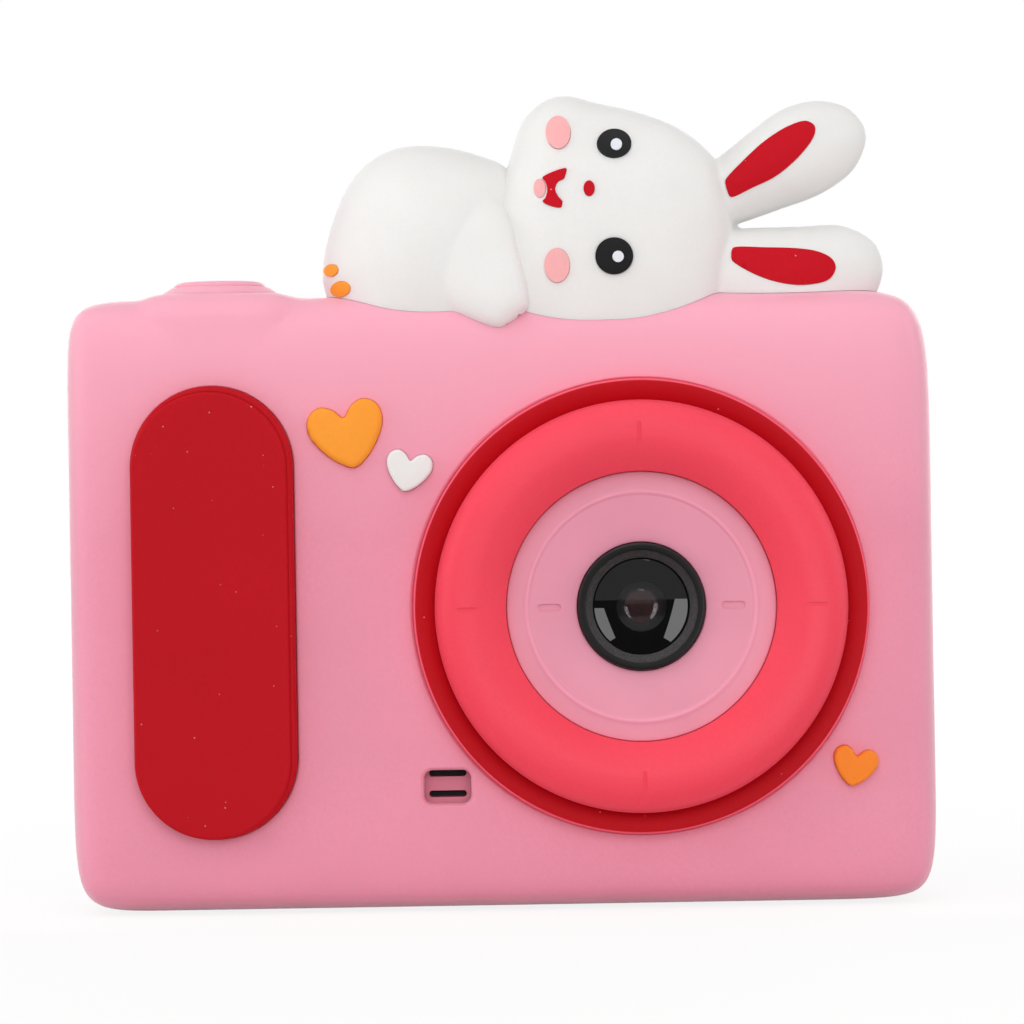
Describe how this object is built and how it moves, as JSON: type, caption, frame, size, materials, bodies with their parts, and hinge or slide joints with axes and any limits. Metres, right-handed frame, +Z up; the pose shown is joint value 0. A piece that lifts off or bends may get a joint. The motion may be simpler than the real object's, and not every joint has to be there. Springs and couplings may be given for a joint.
{
  "type": "kids digital camera",
  "caption": "Compact toy camera: a hard core with lens, screen, keys and ports in a soft pink silicone sleeve, with a white rabbit lying on top.",
  "frame": {"origin": "middle of the flat base that the camera stands on", "axes": "+X to the right as seen from the lens side, away from the shutter button; +Y from the lens to the screen; +Z up"},
  "size_m": [0.093, 0.0385, 0.0874],
  "materials": {
    "pink_silicone": "soft matte pink silicone",
    "red_silicone": "soft matte dark-red silicone",
    "coral_silicone": "soft matte coral silicone",
    "white_silicone": "soft matte white silicone",
    "orange_silicone": "soft matte orange silicone",
    "cheek_silicone": "soft matte pale-pink silicone",
    "black_silicone": "soft black silicone",
    "pink_plastic": "fine-textured pink moulded plastic",
    "white_plastic": "satin white moulded plastic",
    "black_plastic": "satin black moulded plastic",
    "clear_glass": "clear, polished, over a dark inside",
    "steel": "plated steel",
    "circuit_board": "green solder mask",
    "flex_film": "amber film",
    "battery_foil": "silver laminate foil",
    "lead_rubber": "red lead sheath",
    "foam": "soft black foam"
  },
  "bodies": {
    "camera": {"silicone_sleeve": "pink_silicone", "finger_grip": "red_silicone", "heart_large": "orange_silicone", "heart_white": "white_silicone", "heart_small": "orange_silicone", "lens_collar": "red_silicone", "lens_ring": "coral_silicone", "lens_face": "pink_plastic", "lens_barrel": "black_plastic", "lens_glass": "clear_glass", "lens_element": "clear_glass", "lens_module": "black_plastic", "sensor_board": "circuit_board", "sensor_flex": "flex_film", "front_shell": "pink_plastic", "rear_shell": "pink_plastic", "case_screw_1": "steel", "case_screw_2": "steel", "case_screw_3": "steel", "case_screw_4": "steel", "main_board": "circuit_board", "main_chip": "black_plastic", "lcd_panel": "black_plastic", "lcd_foam": "foam", "screen_window": "clear_glass", "battery": "battery_foil", "battery_plug": "white_plastic", "battery_lead": "lead_rubber", "speaker": "black_plastic", "shutter_switch": "black_plastic", "shutter_board": "circuit_board", "key_dome_sheet": "flex_film", "usb_port": "steel", "card_socket": "steel", "rabbit_figure": "white_silicone", "eye_upper": "black_silicone", "eye_lower": "black_silicone", "eye_glint_upper": "white_silicone", "eye_glint_lower": "white_silicone", "cheek_upper": "cheek_silicone", "cheek_lower": "cheek_silicone", "nose": "red_silicone", "mouth": "red_silicone", "tongue": "cheek_silicone", "toe_spot_upper": "orange_silicone", "toe_spot_lower": "orange_silicone", "ear_inlay_upper": "red_silicone", "ear_inlay_lower": "red_silicone"},
    "shutter": {"shutter_button": "pink_silicone"},
    "ok_button": {"key_ok": "white_plastic"},
    "up_button": {"key_up": "white_plastic"},
    "down_button": {"key_down": "white_plastic"},
    "left_button": {"key_left": "white_plastic"},
    "right_button": {"key_right": "white_plastic"},
    "mode_button": {"key_mode": "white_plastic"},
    "power_button": {"key_power": "white_plastic"},
    "play_button": {"key_play": "white_plastic"},
    "card": {"memory_card": "black_plastic"}
  },
  "joints": [
    {"name": "shutter_press", "type": "slide", "parent": "camera", "child": "shutter", "axis": [0, 0, -1], "range_m": [0, 0.001], "stiffness_N_per_m": 800},
    {"name": "ok_press", "type": "slide", "parent": "camera", "child": "ok_button", "axis": [0, -1, 0], "range_m": [0, 0.0006], "stiffness_N_per_m": 1000},
    {"name": "up_press", "type": "slide", "parent": "camera", "child": "up_button", "axis": [0, -1, 0], "range_m": [0, 0.0006], "stiffness_N_per_m": 1000},
    {"name": "down_press", "type": "slide", "parent": "camera", "child": "down_button", "axis": [0, -1, 0], "range_m": [0, 0.0006], "stiffness_N_per_m": 1000},
    {"name": "left_press", "type": "slide", "parent": "camera", "child": "left_button", "axis": [0, -1, 0], "range_m": [0, 0.0006], "stiffness_N_per_m": 1000},
    {"name": "right_press", "type": "slide", "parent": "camera", "child": "right_button", "axis": [0, -1, 0], "range_m": [0, 0.0006], "stiffness_N_per_m": 1000},
    {"name": "mode_press", "type": "slide", "parent": "camera", "child": "mode_button", "axis": [0, -1, 0], "range_m": [0, 0.0006], "stiffness_N_per_m": 1000},
    {"name": "power_press", "type": "slide", "parent": "camera", "child": "power_button", "axis": [0, -1, 0], "range_m": [0, 0.0006], "stiffness_N_per_m": 1000},
    {"name": "play_press", "type": "slide", "parent": "camera", "child": "play_button", "axis": [0, -1, 0], "range_m": [0, 0.0006], "stiffness_N_per_m": 1000},
    {"name": "card_slide", "type": "slide", "parent": "camera", "child": "card", "axis": [1, 0, 0], "range_m": [0, 0.015]}
  ]
}
